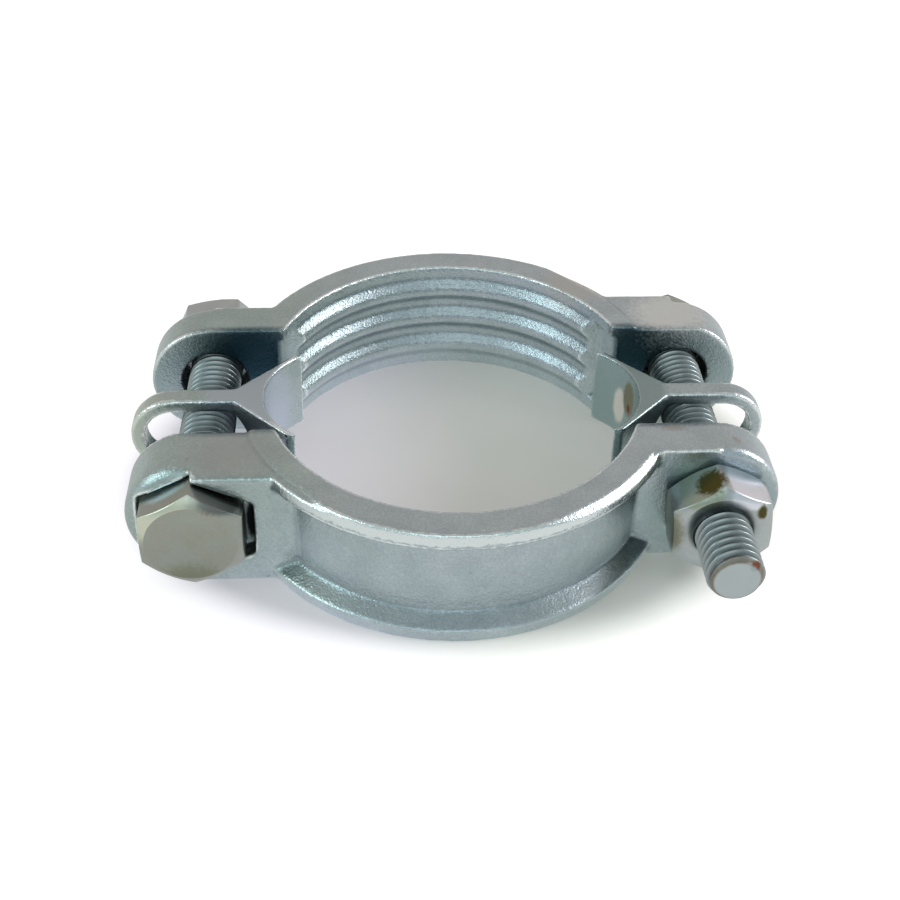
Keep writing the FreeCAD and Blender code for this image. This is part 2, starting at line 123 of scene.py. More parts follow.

# The plate of the castings: height over which rubbed edges and their painted highlight begin, painted shade
# that makes the castings darker and greener on the left along X, and distance of the painted shade in a
# pocket from the middle plane.
OFF_FLOOR = (1.0 * MM, 7.0 * MM)
CAST_SHADE_RUN = (-36 * MM, -4 * MM)
CAST_SIDE_SHADES = ((0.85, 0.90, 0.88), (0.97, 0.98, 1.04))
POCKET_SHADE_DISTANCE = 25.2 * MM

# The floor as the camera sees it: its glow inside the clamp and what it gains around it, where it gains that
# as a share of the clamp's reach, and its tints: painted light inside the clamp, pinkish and brighter on the
# left, and around it.
FLOOR_HALF = 1.6
FLOOR_GLOW = 0.14
FLOOR_GAIN = 0.55
FLOOR_EDGE = (0.92, 1.14)
FLOOR_PAINTED_LIGHT_RUN = (-26 * MM, 10 * MM)
FLOOR_PAINTED_LIGHT_TINTS = ((1.75, 1.65, 1.90), (0.95, 1.0, 0.90))
FLOOR_TINT_AROUND = (1.0, 0.985, 0.975)

# Soft lamps that face the clamp: the setting of their power, place, width, height and colour.
LAMPS = (
    ("right_window", (0.76, -0.04, 0.34), 0.50, 0.30, (0.96, 0.95, 1.0)),
    ("left_window", (-0.68, -0.28, 0.36), 0.40, 0.30, (0.80, 0.97, 1.0)),
    ("front_window", (-0.05, -0.75, 0.42), 0.60, 0.40, (0.86, 0.98, 1.0)),
)

# A worn, rusty or stained place, or a painted shade or painted highlight: where it lies, how it spreads and
# what it does to colour and roughness.
Spot = namedtuple("Spot", "centre radius colour stretch ragged core dull strength",
                  defaults=((1.0, 1.0, 1.0), 0.4, 0.75, 0.0, 1.0))


def in_mm(x, y, z):
    """Place or way given in millimetres."""
    return Vector((x, y, z)) * MM


# Lighter and darker patches and small brownish stains on top of the ears.
EAR_SPOTS = {
    "front_half": (
        Spot(in_mm(-38, -20, 23.5), 10 * MM, (0.38, 0.39, 0.39), (1.0, 1.2, 1.0),
             ragged=1.0, core=0.3, strength=0.6),
        Spot(in_mm(37.5, -16.2, 23.5), 1.5 * MM, (0.32, 0.27, 0.22), (0.5, 1.3, 1.0),
             ragged=1.3, core=0.3, dull=0.1, strength=0.5),
        Spot(in_mm(48, -19, 23.5), 1.2 * MM, (0.33, 0.27, 0.21),
             ragged=1.3, core=0.3, dull=0.1, strength=0.6),
    ),
    "rear_half": (
        Spot(in_mm(43, 20, 23.5), 10 * MM, (0.72, 0.75, 0.74), (1.0, 1.2, 1.0),
             ragged=0.9, core=0.4, strength=0.8),
        Spot(in_mm(27, 30, 23.5), 7 * MM, (0.50, 0.50, 0.48), (0.8, 1.0, 1.0),
             ragged=0.8, core=0.5, strength=0.8),
    ),
}

# The camera of the photograph, fitted to the object's edges; pixels of its 900 by 900 frame.
PHOTO_SIZE = 900.0
PHOTO_FOCUS = 1419.43
PHOTO_CENTRE = (501.64, 268.32)
CAMERA_PLACE = (-13.98 * MM, -205.79 * MM, 176.69 * MM)
CAMERA_YAW = math.radians(6.02)
CAMERA_PITCH = math.radians(32.25)
CAMERA_ROLL = math.radians(2.84)


def length_property(name, description, default):
    return FloatProperty(name=name, description=description, default=default, min=0.0, max=1.0,
                         subtype="DISTANCE", unit="LENGTH", precision=5)


def power_property(name, description, default):
    return FloatProperty(name=name, description=description, default=default, min=0.0, max=500.0,
                         unit="POWER")


def colour_property(name, description, default):
    return FloatVectorProperty(name=name, description=description, default=default, size=3,
                               min=0.0, max=1.0, subtype="COLOR")


class CastingSettings(bpy.types.PropertyGroup):
    grid: length_property("Grid", "Mesh size of the cast surfaces", 0.34 * MM)
    softening: IntProperty(name="Softening", description="Smoothing passes that round the cast edges",
                           default=12, min=0, max=30)
    waviness: length_property("Waviness", "Height of the slow waves in the cast skin", 0.020 * MM)
    wave_size: length_property("Wave size", "Width of those waves", 3.5 * MM)
    roughcast: length_property("Roughcast", "Height of the fine unevenness of the skin", 0.012 * MM)
    roughcast_size: length_property("Roughcast size", "Width of that unevenness", 0.8 * MM)
    zinc: colour_property("Zinc", "Zinc plate on the castings", (0.53, 0.595, 0.59))
    zinc_deep: colour_property("Deep zinc", "Zinc plate in dull patches", (0.465, 0.53, 0.53))
    zinc_grain: colour_property("Zinc grain", "Tint of the darkest grains", (0.80, 0.81, 0.82))
    # Bright zinc for specks and worn edges, and for the painted highlight on edges and on the rim.
    zinc_bright: colour_property("Bright zinc", "Zinc plate rubbed bright on edges", (0.76, 0.82, 0.82))
    pit: colour_property("Pit", "Small pits in the cast skin", (0.16, 0.15, 0.13))
    # Painted shade in hollows.
    hollow_shade: colour_property("Hollow", "Dull plate in hollows", (0.16, 0.21, 0.23))
    # Painted shade on the upright faces of the ears.
    ear_face_shade: colour_property("Ear face", "Duller plate on the upright faces of the ears", (0.30, 0.39, 0.40))
    # Painted shade on the ear faces between the ears, near the bore.
    gap: colour_property("Gap", "Dark plate where grime lies between the ears", (0.015, 0.06, 0.085))
    # Painted shade in the pocket around the bolt head.
    pocket: colour_property("Pocket", "Oily dirt around the bolt head in its pocket", (0.015, 0.02, 0.022))
    seat_offset: length_property("Seat offset", "Seat axis of each half from the middle plane", 3.25 * MM)
    # Height of the band of painted highlight on the top rim.
    rim_highlight_band: length_property("Rim band", "Height of the rubbed outer edge of the top rim", 2.1 * MM)
    rim_bevel: length_property("Rim bevel", "Bevel worn on the front rim at its right end", 1.5 * MM)


class ThreadSettings(bpy.types.PropertyGroup):
    pitch: length_property("Pitch", "Advance of the thread in one turn", 1.5 * MM)
    depth: length_property("Depth", "Height of the thread above its root", 0.84 * MM)
    play: length_property("Play", "Gap between the threads of bolt and nut", 0.05 * MM)
    end_radius: length_property("End radius", "Radius of the flat end of the bolt", 3.95 * MM)
    chamfer_share: FloatProperty(name="Chamfer share", description="Face circle as a share of the flats",
                                 default=0.9, min=0.0, max=1.0, subtype="FACTOR")
    chamfer_angle: FloatProperty(name="Chamfer angle", description="Slope of the turned corners",
                                 default=math.radians(30), min=0.0, max=1.2, subtype="ANGLE")
    plate: colour_property("Plate", "Zinc plate on bolts", (0.37, 0.39, 0.355))
    grain: colour_property("Grain", "Tint of the darkest grains", (0.62, 0.64, 0.64))
    shank: colour_property("Shank", "Zinc plate on the threads", (0.38, 0.43, 0.44))
    bolt_end: colour_property("Bolt end", "Cut face at the end of a bolt", (0.48, 0.53, 0.54))
    plate_warm: colour_property("Warm plate", "Yellowish passivation on bolts and nuts", (0.36, 0.35, 0.27))
    nut_plate: colour_property("Nut plate", "Bright plate on the nuts", (0.48, 0.525, 0.54))
    # Painted reflection on the left shoe and painted shade on the right shoe, which are the same casting.
    lit_shoe: colour_property("Clean shoe", "Bluish plate on the left shoe", (0.45, 0.51, 0.57))
    shaded_shoe: colour_property("Dull shoe", "Greenish plate on the right shoe", (0.24, 0.33, 0.33))
    tab_plate: colour_property("Tab plate", "Yellowish plate on a saddle tab", (0.54, 0.58, 0.47))
    # Painted shade low on a bolt head.
    head_low_shade: colour_property("Lower head", "Olive plate low on a bolt head", (0.23, 0.24, 0.17))
    # Painted shade on the head facet inside the pocket.
    shade: colour_property("Shade", "Dull plate on the head facet inside the pocket", (0.17, 0.18, 0.17))
    # Painted highlight, painted shade and greenish painted shade on the facets of a nut.
    nut_facet_highlight: colour_property("Nut bright", "Clean plate on a nut facet", (0.74, 0.76, 0.82))
    nut_facet_shade: colour_property("Nut dull", "Dull plate on a nut facet", (0.22, 0.22, 0.16))
    nut_facet_green_shade: colour_property("Nut green", "Greenish plate on a nut facet", (0.35, 0.40, 0.33))
    # Painted highlight on the turned corners of a bolt head.
    head_chamfer_highlight: colour_property("Chamfer", "Pale yellowish plate on turned corners", (0.62, 0.64, 0.52))
    # Painted highlight on a head facet.
    head_facet_highlight: colour_property("Head facet", "Clean bluish plate on a head facet", (0.56, 0.68, 0.70))
    tarnish: colour_property("Tarnish", "Brownish plate round the end of a bolt", (0.30, 0.25, 0.19))
    worn: colour_property("Worn", "Pale metal where a saddle shoe was rubbed", (0.66, 0.64, 0.60))
    stain: colour_property("Stain", "Olive stain on a saddle shoe", (0.20, 0.19, 0.13))
    nut_stain: colour_property("Nut stain", "Olive stain on a nut", (0.085, 0.075, 0.022))
    # Painted shade in the grooves of the thread.
    groove_shade: colour_property("Groove", "Dirt in the grooves of the thread", (0.07, 0.085, 0.09))
    rust: colour_property("Rust", "Rust where the plate is worn through", (0.19, 0.055, 0.02))


class StageSettings(bpy.types.PropertyGroup):
    floor: colour_property("Floor", "Pale floor under the clamp", (0.64, 0.63, 0.61))
    right_window: power_property("Right window", "Power of the soft lamp on the right", 2.9)
    left_window: power_property("Left window", "Power of the soft lamp on the left", 1.3)
    front_window: power_property("Front window", "Power of the soft lamp in front", 0.7)
    sky_low: colour_property("Low sky", "Room light just above the floor, behind", (0.67, 0.625, 0.60))
    sky_high: colour_property("High sky", "Room light overhead", (0.60, 0.565, 0.535))
    sky_front: colour_property("Front sky", "Room light in front, as a share of the rest", (0.68, 0.84, 0.89))


def zinc_settings():
    return bpy.context.scene.clamp_casting


def thread_settings():
    return bpy.context.scene.clamp_thread


def stage_settings():
    return bpy.context.scene.clamp_stage


# Shader node groups that several finishes share.

def add_node(tree, kind, **values):
    """New node with the given settings; nodes stand in columns, in the order in which they are made."""
    column, row = divmod(len(tree.nodes), NODE_ROWS)
    node = tree.nodes.new(kind)
    node.location = (NODE_STEP[0] * (column - NODE_COLUMNS), -NODE_STEP[1] * row)
    for name, value in values.items():
        setattr(node, name, value)
    return node


def put(tree, socket, value):
    """Links a socket to another one, or sets its number, vector or colour."""
    if isinstance(value, bpy.types.NodeSocket):
        tree.links.new(value, socket)
    elif socket.type == "RGBA":
        socket.default_value = (*value, 1.0)
    else:
        socket.default_value = value


def feed(tree, node, **values):
    """Puts values into inputs of a node by name; underscores stand for spaces."""
    for name, value in values.items():
        put(tree, node.inputs[name.replace("_", " ")], value)


def vector_in(tree, operation, *values):
    node = add_node(tree, "ShaderNodeVectorMath", operation=operation)
    for socket, value in zip(node.inputs, values):
        put(tree, socket, value)
    return node.outputs["Value" if operation == "LENGTH" else "Vector"]


def split_in(tree, vector):
    """The X, Y and Z outputs of a vector."""
    node = add_node(tree, "ShaderNodeSeparateXYZ")
    tree.links.new(vector, node.inputs[0])
    return node.outputs


def new_group(name, inputs, outputs):
    """Shader group that takes a position and named inputs, with their defaults, and gives named numbers.
    Returns it with the sockets of its inputs and the node of its outputs."""
    group = bpy.data.node_groups.new(name, "ShaderNodeTree")
    for label, default in {"Position": None, **inputs}.items():
        kind = "NodeSocketFloat" if isinstance(default, float) else "NodeSocketVector"
        socket = group.interface.new_socket(label, in_out="INPUT", socket_type=kind)
        if default is not None:
            socket.default_value = default
    for label in outputs:
        group.interface.new_socket(label, in_out="OUTPUT", socket_type="NodeSocketFloat")
    return group, add_node(group, "NodeGroupInput").outputs, group.nodes.new("NodeGroupOutput")


def noise_in(tree, position, scale, detail=4.0, rough=0.55):
    node = add_node(tree, "ShaderNodeTexNoise")
    feed(tree, node, Vector=position, Scale=scale, Detail=detail, Roughness=rough)
    return node.outputs["Fac"]


def ramp_in(tree, value, low, high):
    """Smooth step of a value: 0 at low, 1 at high."""
    node = add_node(tree, "ShaderNodeMapRange", interpolation_type="SMOOTHSTEP", clamp=True)
    feed(tree, node, Value=value, From_Min=low, From_Max=high)
    return node.outputs["Result"]


def math_in(tree, operation, *values):
    node = add_node(tree, "ShaderNodeMath", operation=operation)
    for socket, value in zip(node.inputs, values):
        put(tree, socket, value)
    return node.outputs[0]


def wobble_in(tree, position, scale, reach):
    """Noise about zero, over a range of reach."""
    centred = math_in(tree, "SUBTRACT", noise_in(tree, position, scale), 0.5)
    return math_in(tree, "MULTIPLY", centred, reach)


def mix_in(tree, factor, first, second, blend="MIX"):
    node = add_node(tree, "ShaderNodeMix", data_type="RGBA", blend_type=blend)
    for number, value in zip(MIX_SOCKETS, (factor, first, second)):
        put(tree, node.inputs[number], value)
    return node.outputs[MIX_RESULT]


def grain_group():
    """Fine crystalline grain of zinc plate: patches, specks and a height."""
    group, given, result = new_group(
        "zinc grain", {"Patch scale": 180.0, "Grain scale": 2600.0, "Speck share": 0.62},
        ("Patches", "Grain", "Specks", "Pits", "Height"))
    position = given["Position"]
    patches = noise_in(group, position, given["Patch scale"])
    grain = noise_in(group, position, given["Grain scale"], 2.0, 0.6)
    coarse_scale = math_in(group, "MULTIPLY", given["Grain scale"], 0.45)
    coarse = noise_in(group, position, coarse_scale, 2.0)
    crystals = add_node(group, "ShaderNodeTexVoronoi", feature="F1")
    feed(group, crystals, Vector=position, Scale=given["Grain scale"])
    speck_top = math_in(group, "ADD", given["Speck share"], 0.12)
    specks = ramp_in(group, coarse, given["Speck share"], speck_top)
    pit_scale = math_in(group, "MULTIPLY", given["Grain scale"], 0.28)
    pits = ramp_in(group, noise_in(group, position, pit_scale), 0.29, 0.23)
    height = math_in(group, "MULTIPLY", crystals.outputs["Distance"], 0.5)
    height = math_in(group, "ADD", height, grain)
    height = math_in(group, "ADD", height, coarse)
    feed(group, result, Patches=patches, Grain=grain, Specks=specks, Pits=pits, Height=height)
    return group


def edge_sheen_and_hollow_shade_group():
    """Rubbed edges, partly wear and partly painted highlight, and painted shade in hollows, from the
    curvature that cast_mesh keeps on the mesh.
    """
    group, given, result = new_group("rubbed edges", {}, ("Edge", "Hollow"))
    position = given["Position"]
    curve = add_node(group, "ShaderNodeAttribute", attribute_name=CURVATURE).outputs["Fac"]
    curved = math_in(group, "ADD", curve, wobble_in(group, position, 1100.0, 0.6))
    edge = ramp_in(group, curved, *EDGE_CURVES)
    feed(group, result, Edge=edge, Hollow=ramp_in(group, curve, *HOLLOW_CURVES))
    return group


def spot_group():
    """Ragged round spot about a point: its share of cover, from 1 in the core to 0 outside."""
    group, given, result = new_group("ragged spot", {
        "Centre": None, "Stretch": (1.0, 1.0, 1.0), "Radius": 1.0 * MM,
        "Ragged": 0.5, "Core": 0.75, "Strength": 1.0}, ("Cover",))
    position = given["Position"]
    apart = vector_in(group, "SUBTRACT", position, given["Centre"])
    far = vector_in(group, "LENGTH", vector_in(group, "MULTIPLY", apart, given["Stretch"]))
    reach = math_in(group, "DIVIDE", far, given["Radius"])
    reach = math_in(group, "ADD", reach, wobble_in(group, position, 1500.0, given["Ragged"]))
    cover = ramp_in(group, reach, 1.05, given["Core"])
    feed(group, result, Cover=math_in(group, "MULTIPLY", cover, given["Strength"]))
    return group


def rim_highlight_group():
    """Painted highlight on the outer edge of a top rim: steep faces of a ring near its top."""
    group, given, result = new_group(
        "rim band", {"Centre": None, "Radius": 39.0 * MM, "Bottom": 20.0 * MM}, ("Cover",))
    position = given["Position"]
    apart = vector_in(group, "SUBTRACT", position, given["Centre"])
    far = vector_in(group, "LENGTH", vector_in(group, "MULTIPLY", apart, (1.0, 1.0, 0.0)))
    beyond = math_in(group, "SUBTRACT", far, given["Radius"])
    parts = split_in(group, position)
    above = math_in(group, "SUBTRACT", parts["Z"], given["Bottom"])
    above = math_in(group, "ADD", above, wobble_in(group, position, 900.0, 1.6 * MM))
    tilt = split_in(group, add_node(group, "ShaderNodeNewGeometry").outputs["Normal"])
    cover = ramp_in(group, parts["X"], *RIM_RUN)
    cover = math_in(group, "MULTIPLY_ADD", cover, RIM_MOST - RIM_LEAST, RIM_LEAST)
    for value, limits in ((beyond, RIM_INSIDE), (beyond, RIM_OUTSIDE), (above, RIM_HEIGHTS),
                          (tilt["Z"], RIM_TILTS)):
        cover = math_in(group, "MULTIPLY", cover, ramp_in(group, value, *limits))
    feed(group, result, Cover=cover)
    return group


GROUP_MAKERS = {"zinc grain": grain_group, "rubbed edges": edge_sheen_and_hollow_shade_group,
                "ragged spot": spot_group, "rim band": rim_highlight_group}


def use_group(tree, name, **values):
    """Outputs of a shader group, which is made at its first use."""
    group = bpy.data.node_groups.get(name) or GROUP_MAKERS[name]()
    node = add_node(tree, "ShaderNodeGroup", node_tree=group)
    feed(tree, node, **values)
    return node.outputs


# What a finish starts from; place is the output with the object's own coordinates.
Base = namedtuple("Base", "material tree shader place")


def finish_base(name, metallic=1.0):
    """New material with a Principled shader."""
    material = bpy.data.materials.new(name)
    material.use_nodes = True
    tree = material.node_tree
    shader = tree.nodes["Principled BSDF"]
    shader.inputs["Metallic"].default_value = metallic
    place = add_node(tree, "ShaderNodeTexCoord").outputs["Object"]
    return Base(material, tree, shader, place)


def finish_top(base, spots, colour, rough, height, strength, depth):
    """Lays spots over a colour and a roughness, one after the other, and puts both into the shader,
    with bumps of the given height, strength and depth."""
    material, tree, shader, place = base
    for spot in spots:
        cover = use_group(tree, "ragged spot", Position=place, Centre=spot.centre,
                          Stretch=spot.stretch, Radius=spot.radius, Ragged=spot.ragged, Core=spot.core,
                          Strength=spot.strength)["Cover"]
        colour = mix_in(tree, cover, colour, spot.colour)
        rough = math_in(tree, "ADD", rough, math_in(tree, "MULTIPLY", cover, spot.dull))
    bump = add_node(tree, "ShaderNodeBump")
    feed(tree, bump, Strength=strength, Distance=depth, Height=height)
    feed(tree, shader, Base_Color=colour, Roughness=rough, Normal=bump.outputs["Normal"])
    return material


def cast_zinc(name, spots, rim=None, relief=0.65):
    """Zinc plate over a casting: dull crystalline grain, specks, pits, edges rubbed bright that are partly
    wear and partly painted highlight, painted shade in hollows and on the left side, and a painted highlight
    on the rim.
    rim has the inputs of the rim band, where there is one; relief is the strength of the bumps."""
    look = zinc_settings()
    base = finish_base(name)
    tree, place = base.tree, base.place
    grain = use_group(tree, "zinc grain", Position=place)
    edges = use_group(tree, "rubbed edges", Position=place)
    colour = mix_in(tree, ramp_in(tree, grain["Patches"], 0.3, 0.7), look.zinc_deep, look.zinc)
    tone = ramp_in(tree, grain["Grain"], 0.25, 0.75)
    dark = mix_in(tree, 1.0, colour, look.zinc_grain, "MULTIPLY")
    colour = mix_in(tree, tone, dark, colour)
    specks = math_in(tree, "MULTIPLY", grain["Specks"], 0.25)
    colour = mix_in(tree, specks, colour, look.zinc_bright)
    colour = mix_in(tree, math_in(tree, "MULTIPLY", grain["Pits"], 0.6), colour, look.pit)
    parts = split_in(tree, place)
    # Edges rubbed bright, partly wear and partly painted highlight, left out near the floor.
    bright = math_in(tree, "MULTIPLY", edges["Edge"], ramp_in(tree, parts["Z"], *OFF_FLOOR))
    # Painted shade: the castings darker and greener on the left along X.
    side_shade = mix_in(tree, ramp_in(tree, parts["X"], *CAST_SHADE_RUN), *CAST_SIDE_SHADES)
    colour = mix_in(tree, 1.0, colour, side_shade, "MULTIPLY")
    # Painted highlight on the outer band of the top rim.
    if rim:
        bright = math_in(tree, "MAXIMUM", bright, use_group(tree, "rim band", Position=place, **rim)["Cover"])
    colour = mix_in(tree, bright, colour, look.zinc_bright)
    # Painted shade in hollows.
    hollow_shade = math_in(tree, "MULTIPLY", edges["Hollow"], 0.5)
    colour = mix_in(tree, hollow_shade, colour, look.hollow_shade)
    rough = math_in(tree, "MULTIPLY_ADD", grain["Patches"], 0.10, 0.29)
    rough = math_in(tree, "SUBTRACT", rough, math_in(tree, "MULTIPLY", bright, 0.10))
    return finish_top(base, spots, colour, rough, grain["Height"], relief, 0.09 * MM)


def forged_zinc(name, plate, warmth, dullness, spots=()):
    """Smoother zinc plate on forged and turned pieces: warmth is the share of yellowish plate, dullness the
    least roughness."""
    look = thread_settings()
    base = finish_base(name)
    tree, place = base.tree, base.place
    grain = use_group(tree, "zinc grain", Position=place, Patch_scale=260.0,
                      Grain_scale=3400.0, Speck_share=0.68)
    warm = math_in(tree, "MULTIPLY", ramp_in(tree, grain["Patches"], 0.35, 0.7), warmth)
    colour = mix_in(tree, warm, plate, look.plate_warm)
    tone = math_in(tree, "MULTIPLY", ramp_in(tree, grain["Grain"], 0.1, 0.9), 0.3)
    dark = mix_in(tree, 1.0, colour, look.grain, "MULTIPLY")
    colour = mix_in(tree, tone, colour, dark)
    rough = math_in(tree, "MULTIPLY_ADD", grain["Patches"], 0.16, dullness)
    return finish_top(base, spots, colour, rough, grain["Height"], 0.12, 0.03 * MM)


# Meshes.

def add_object(name, data):
    item = bpy.data.objects.new(name, data)
    bpy.context.scene.collection.objects.link(item)
    return item


def link_piece(name, mesh, node, *finishes):
    """Object for a mesh that takes the place of a node of the frame and rides on its body."""
    piece = add_object(name, mesh)
    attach(piece, BODY_OF[node])
    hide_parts(node)
    for finish in finishes:
        mesh.materials.append(finish)


def middle_of(node):
    low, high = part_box(node)
    return (low + high) / 2


def nearest_y(node):
    """Distance of a node from the plane between the two halves."""
    low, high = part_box(node)
    return min(abs(low.y), abs(high.y))


def smooth_skin(node):
    """Even mesh over the solid of a casting, with its edges rounded."""
    look = zinc_settings()
    blank = frame["nodes"][node].data.copy()
    work = bmesh.new()
    work.from_mesh(blank)
    bmesh.ops.remove_doubles(work, verts=work.verts, dist=2 * SAME_PLACE)
    work.to_mesh(blank)
    work.free()
    holder = add_object("casting_blank", blank)
    remesh = holder.modifiers.new("skin", "REMESH")
    remesh.mode = "VOXEL"
    remesh.voxel_size = look.grid
    remesh.use_smooth_shade = True
    soften = holder.modifiers.new("soften", "SMOOTH")
    soften.factor = 0.5
    soften.iterations = look.softening
    graph = bpy.context.evaluated_depsgraph_get()
    mesh = bpy.data.meshes.new_from_object(holder.evaluated_get(graph))
    bpy.data.objects.remove(holder)
    return mesh


def numbers_of(items, name, width, kind=float):
    """Array of a property of vertices or edges, one row for each."""
    numbers = numpy.empty(len(items) * width, dtype=kind)
    items.foreach_get(name, numbers)
    return numbers.reshape(-1, width)


def keep_curvature(mesh):
    """Stores the curvature of a mesh, per mm and above 0 on outer edges, at each of its vertices."""
    count = len(mesh.vertices)
    places, normals = numbers_of(mesh.vertices, "co", 3) / MM, numbers_of(mesh.vertices, "normal", 3)
    ends = numbers_of(mesh.edges, "vertices", 2, numpy.int32)
    first, second = ends.T
    degree = numpy.maximum(numpy.bincount(ends.ravel(), minlength=count), 1)

    def gather(from_first, from_second):
        total = numpy.bincount(first, from_first, count) + numpy.bincount(second, from_second, count)
        return total / degree

    step = places[second] - places[first]
    reach = gather((step ** 2).sum(axis=1), (step ** 2).sum(axis=1))
    drop = gather(-(step * normals[first]).sum(axis=1), (step * normals[second]).sum(axis=1))
    curvature = 2 * drop / numpy.maximum(reach, 1e-6)
    for _ in range(CURVATURE_BLURS):
        curvature = (curvature + gather(curvature[second], curvature[first])) / 2
    mesh.attributes.new(CURVATURE, "FLOAT", "POINT").data.foreach_set("value", curvature)


def ease_rim(mesh, centre, radius, top, size):
    """Bevels the outer top edge of a rim at 45 degrees, more and more towards its right end."""
    places = numbers_of(mesh.vertices, "co", 3)
    apart = places[:, :2] - numpy.array(centre[:2])
    reach = numpy.maximum(numpy.hypot(apart[:, 0], apart[:, 1]), 1 * MM)
    grows = numpy.interp(apart[:, 0] / MM, BEVEL_PLACES, BEVEL_SHARES)
    excess = (reach + places[:, 2] - (radius + top - size * grows)) / 2
    excess = numpy.where(reach < radius + BEVEL_MARGIN, numpy.maximum(excess, 0), 0)
    places[:, :2] -= apart * (excess / reach)[:, None]
    places[:, 2] -= excess
    mesh.vertices.foreach_set("co", places.ravel())
    mesh.update()


def cast_mesh(node, bevel=None):
    """Skin of a casting: the solid's shape with softened edges and an uneven surface.
    The bevel, where there is one, is given as (centre, radius, top, size)."""
    look = zinc_settings()
    mesh = smooth_skin(node)
    if bevel:
        ease_rim(mesh, *bevel)
    keep_curvature(mesh)
    # The letters of its name give each casting waves of its own.
    offset = Vector((sum(node.encode()) % 17, 3.1, 7.7))
    low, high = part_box(node)
    wave_scale, rough_scale = 1 / look.wave_size, 1 / look.roughcast_size
    waviness, roughcast = look.waviness, look.roughcast
    moved = []
    for vertex in mesh.vertices:
        lift = waviness * noise.noise(vertex.co * wave_scale + offset)
        lift += roughcast * noise.noise(vertex.co * rough_scale + offset * 2)
        point = vertex.co + vertex.normal * lift
        moved.extend(min(max(value, bottom), top) for value, bottom, top in zip(point, low, high))
    mesh.vertices.foreach_set("co", moved)
    mesh.update()
    mesh.shade_smooth()
    mesh.materials.clear()
    return mesh


class Turned:
    """Closed mesh of rings about an upright axis, all with the same number of points."""

    def __init__(self):
        self.work = bmesh.new()
        self.last = None

    def ring(self, radius, height):
        """Adds a ring, joined to the one before; radius and height are numbers or functions of the angle."""
        points = []
        for step in range(RING_STEPS):
            angle = 2 * math.pi * step / RING_STEPS
            reach = radius(angle) if callable(radius) else radius
            level = height(angle) if callable(height) else height
            points.append(self.work.verts.new((reach * math.cos(angle), reach * math.sin(angle), level)))
        if self.last:
            for step in range(RING_STEPS):
                after = (step + 1) % RING_STEPS
                self.work.faces.new((self.last[step], self.last[after], points[after], points[step]))
        self.last = points

    def cap(self, height):
        """Closes the last ring with a fan about the axis."""
        middle = self.work.verts.new((0, 0, height))
        for step in range(RING_STEPS):
            self.work.faces.new((self.last[step], self.last[(step + 1) % RING_STEPS], middle))

    def thread(self, start, end, radii, trim, first_radius, last_radius):
        """Helical wall from start to end. radii has a radius for each part of the thread's profile, and trim
        makes the radius at a height fit the lead-in at the ends."""
        look = thread_settings()
        turns = range(-1, math.ceil((end - start) / look.pitch) + 1)
        columns = []
        for step in range(RING_STEPS + 1):
            column = []
            for turn in turns:
                for share, part in THREAD_PROFILE:
                    height = start + (turn + share + step / RING_STEPS) * look.pitch
                    radius = trim(radii[part], height)
                    if height <= start:
                        height, radius = start, first_radius
                    elif height >= end:
                        height, radius = end, last_radius
                    angle = 2 * math.pi * step / RING_STEPS
                    place = (radius * math.cos(angle), radius * math.sin(angle), height)
                    column.append(self.work.verts.new(place))
            columns.append(column)
        for before, after in zip(columns, columns[1:]):
            for index in range(len(before) - 1):
                face = self.work.faces.new((before[index], after[index], after[index + 1], before[index + 1]))
                face.material_index = THREAD_SLOT
        bmesh.ops.remove_doubles(self.work, verts=self.work.verts, dist=SAME_PLACE)
        self.last = [point for point in self.work.verts
                     if abs(point.co.z - end) < SAME_PLACE
                     and abs(math.hypot(point.co.x, point.co.y) - last_radius) < 2 * SAME_PLACE]
        self.last.sort(key=lambda point: math.atan2(point.co.y, point.co.x) % (2 * math.pi - 1e-6))

    def mesh(self, name, place):
        """Finished mesh, its faces turned outwards, moved to its place in the frame."""
        bmesh.ops.remove_doubles(self.work, verts=self.work.verts, dist=SAME_PLACE)
        bmesh.ops.dissolve_degenerate(self.work, edges=self.work.edges, dist=SAME_PLACE)
        bmesh.ops.recalc_face_normals(self.work, faces=self.work.faces)
        mesh = bpy.data.meshes.new(name)
        self.work.to_mesh(mesh)
        self.work.free()
        mesh.transform(place)
        mesh.shade_smooth()
        return mesh


def along_bolt(node, foot, towards_rear, turned=0.0):
    """Place that lays an upright mesh along the bolt axis of a node, its foot at that y."""
    middle = middle_of(node)
    lean = Matrix.Rotation(-math.pi / 2 if towards_rear else math.pi / 2, 4, "X")
    spin = Matrix.Rotation(turned, 4, "Z")
    return Matrix.Translation((middle.x, foot, middle.z)) @ lean @ spin


def corner_turn(node, towards_rear):
    """Angle by which the hexagon of a node is turned about its axis, from its farthest vertex."""
    upright = along_bolt(node, 0.0, towards_rear).inverted()
    points = [upright @ vertex.co for vertex in frame["nodes"][node].data.vertices]
    corner = max(points, key=lambda point: round(math.hypot(point.x, point.y) / MM, 3))
    angle = (math.atan2(corner.y, corner.x) - math.pi / 2) % SIXTH_TURN
    return angle - SIXTH_TURN if angle > SIXTH_TURN / 2 else angle


def flats_of(node):
    """Width across the flats of a hexagonal node with corners above and below."""
    low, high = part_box(node)
    return high.x - low.x


def reaches_of(node):
    """Pairs of y and distance from the bolt's axis, for each vertex of a node."""
    middle = middle_of(node)
    return [(vertex.co.y, math.hypot(vertex.co.x - middle.x, vertex.co.z - middle.z))
            for vertex in frame["nodes"][node].data.vertices]


def thread_radius_of(node):
    """Outside of the thread: the largest radius of the shank short of its end."""
    low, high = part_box(node)
    end = abs(low.y if node.startswith("right") else high.y)
    return max(reach for y, reach in reaches_of(node) if abs(y) < end - 0.1 * MM and reach < 6 * MM)


